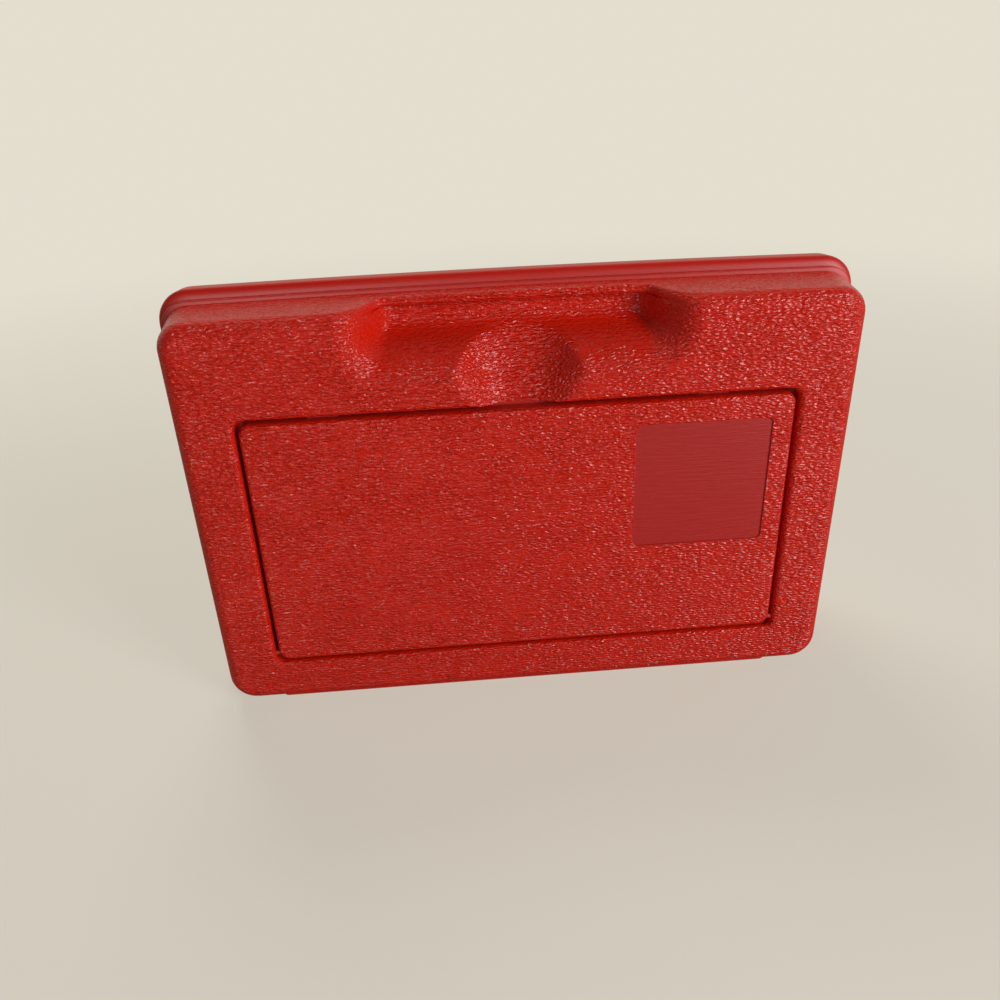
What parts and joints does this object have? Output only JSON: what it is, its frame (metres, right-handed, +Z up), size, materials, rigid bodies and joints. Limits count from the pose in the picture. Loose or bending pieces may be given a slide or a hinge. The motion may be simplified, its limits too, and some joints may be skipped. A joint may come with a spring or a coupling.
{
  "type": "toy brick carrying case",
  "caption": "Upright red hard-plastic carrying case for toy bricks: hinged half shells, moulded hand grip, drop-down front door and lift-out sorting tray.",
  "frame": {"origin": "bottom centre of the closed case, on the surface that the feet stand on", "axes": "+X to the right along the width, +Y from the door to the back, +Z up through the hand grip"},
  "size_m": [0.317, 0.089, 0.2091],
  "materials": {
    "case_plastic": "haircell grain, semi-gloss",
    "inner_plastic": "smooth semi-gloss",
    "tray_plastic": "smooth semi-gloss",
    "steel": "drawn wire, zinc plated"
  },
  "bodies": {
    "rear_half": {"rear_shell": "case_plastic", "case_pin_left": "steel", "case_pin_right": "steel", "sorting_tray": "tray_plastic", "tray_divider_1": "tray_plastic", "tray_divider_2": "tray_plastic", "tray_divider_3": "tray_plastic", "tray_divider_4": "tray_plastic"},
    "front_half": {"front_shell": "case_plastic", "pocket_liner": "inner_plastic", "liner_screws": "steel"},
    "door": {"door_panel": "case_plastic", "door_pin_left": "case_plastic", "door_pin_right": "case_plastic"}
  },
  "joints": [
    {"name": "case_hinge", "type": "hinge", "parent": "rear_half", "child": "front_half", "pos_m": [0, -0.01395, 0.0032], "axis": [1, 0, 0], "range_deg": [0, 160]},
    {"name": "door_hinge", "type": "hinge", "parent": "front_half", "child": "door", "pos_m": [0, -0.0413, 0.0318], "axis": [1, 0, 0], "range_deg": [0, 95]}
  ]
}
